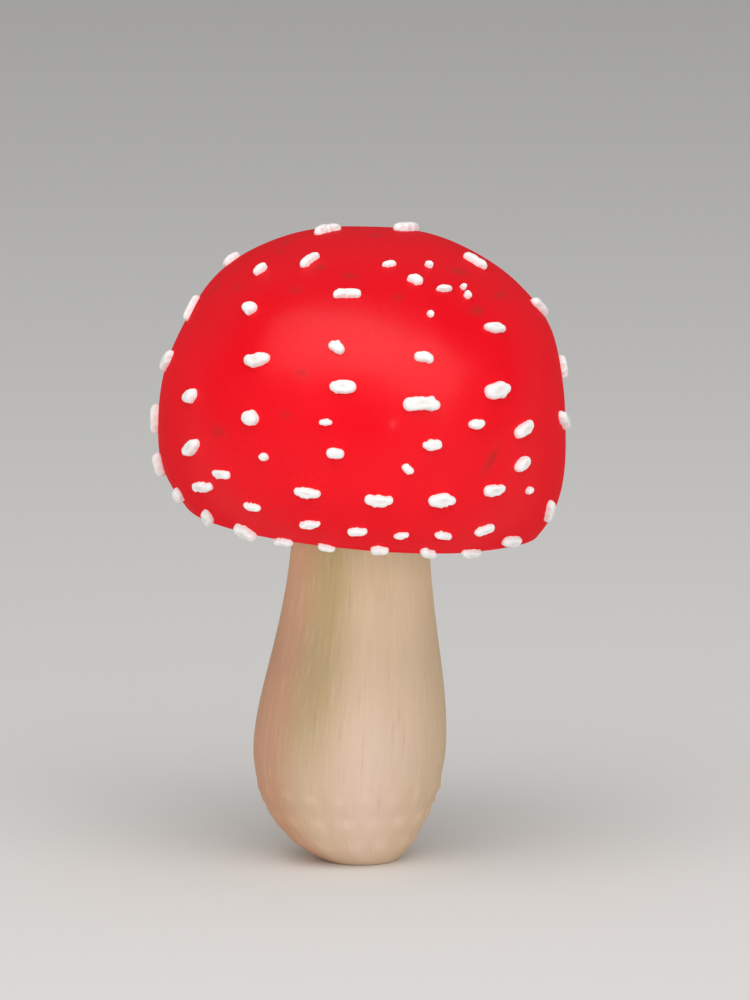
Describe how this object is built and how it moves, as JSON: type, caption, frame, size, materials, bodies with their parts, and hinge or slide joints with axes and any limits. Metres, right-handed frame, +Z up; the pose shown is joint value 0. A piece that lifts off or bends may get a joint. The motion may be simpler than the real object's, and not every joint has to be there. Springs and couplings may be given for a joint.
{
  "type": "fly agaric mushroom",
  "caption": "Young fly agaric standing upright on its bulb: a half-round red cap with raised white warts, pale gills beneath it, and a thick tan stem with a short ring.",
  "frame": {"origin": "middle of the flat spot under the bulb, on which the mushroom stands", "axes": "+Z up along the stem, the front faces -Y, and +X is to the right seen from the front"},
  "size_m": [0.0843, 0.0836, 0.1292],
  "materials": {
    "cap_red": "satin",
    "wart_white": "matte",
    "gill_cream": "matte",
    "stem_tan": "matte"
  },
  "bodies": {
    "root": {"cap": "cap_red", "gills": "gill_cream", "stem": "stem_tan"}
  },
  "joints": []
}
